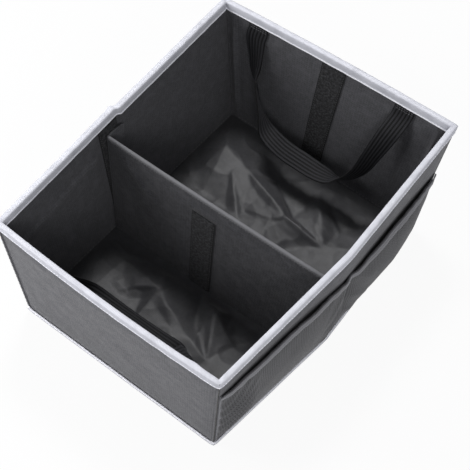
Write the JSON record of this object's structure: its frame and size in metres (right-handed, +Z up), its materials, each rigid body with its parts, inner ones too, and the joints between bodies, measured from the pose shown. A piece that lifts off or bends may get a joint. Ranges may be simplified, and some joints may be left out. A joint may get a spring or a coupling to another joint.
{
  "type": "back seat organizer",
  "caption": "Foldable fabric storage box for a car's back seat, with a divider, two compartments, inside handles and an outside mesh pocket.",
  "frame": {"origin": "middle of the flat underside, on the surface that the box stands on", "axes": "+X across the box towards the long wall with the mesh pocket, +Y along the box to the end that the divider's flaps point to, +Z up"},
  "size_m": [0.2915, 0.3719, 0.1609],
  "materials": {
    "cover": "matt charcoal non-woven cloth",
    "lining": "matt dark non-woven cloth",
    "floor": "loose dark cloth, slightly lustrous",
    "card": "grey card, hidden in the walls",
    "binding": "pale grey ribbed binding tape",
    "mesh": "fine knitted mesh",
    "hem": "ribbed elastic hem",
    "webbing": "ribbed elastic webbing",
    "loop_tape": "black fuzzy loop tape",
    "hook_tape": "black hook tape"
  },
  "bodies": {
    "root": {"base_binding": "binding", "bottom_board_far": "card", "bottom_board_near": "card", "bottom_cover": "cover", "divider_board": "card", "divider_flap_left": "lining", "divider_flap_right": "lining", "divider_hook_tape_left": "hook_tape", "divider_hook_tape_right": "hook_tape", "divider_loop_strip": "loop_tape", "divider_sleeve": "lining", "far_end_board": "card", "far_end_cover": "cover", "far_end_lining": "lining", "far_handle": "webbing", "far_loop_strip": "loop_tape", "floor_cloth": "floor", "left_loop_strip": "loop_tape", "left_side_board_far": "card", "left_side_board_near": "card", "left_side_cover": "cover", "left_side_lining": "lining", "near_end_board": "card", "near_end_cover": "cover", "near_end_lining": "lining", "near_handle": "webbing", "near_loop_strip": "loop_tape", "pocket_hem": "hem", "pocket_mesh": "mesh", "right_loop_strip": "loop_tape", "right_side_board_far": "card", "right_side_board_near": "card", "right_side_cover": "cover", "right_side_lining": "lining", "rim_binding": "binding"}
  },
  "joints": []
}
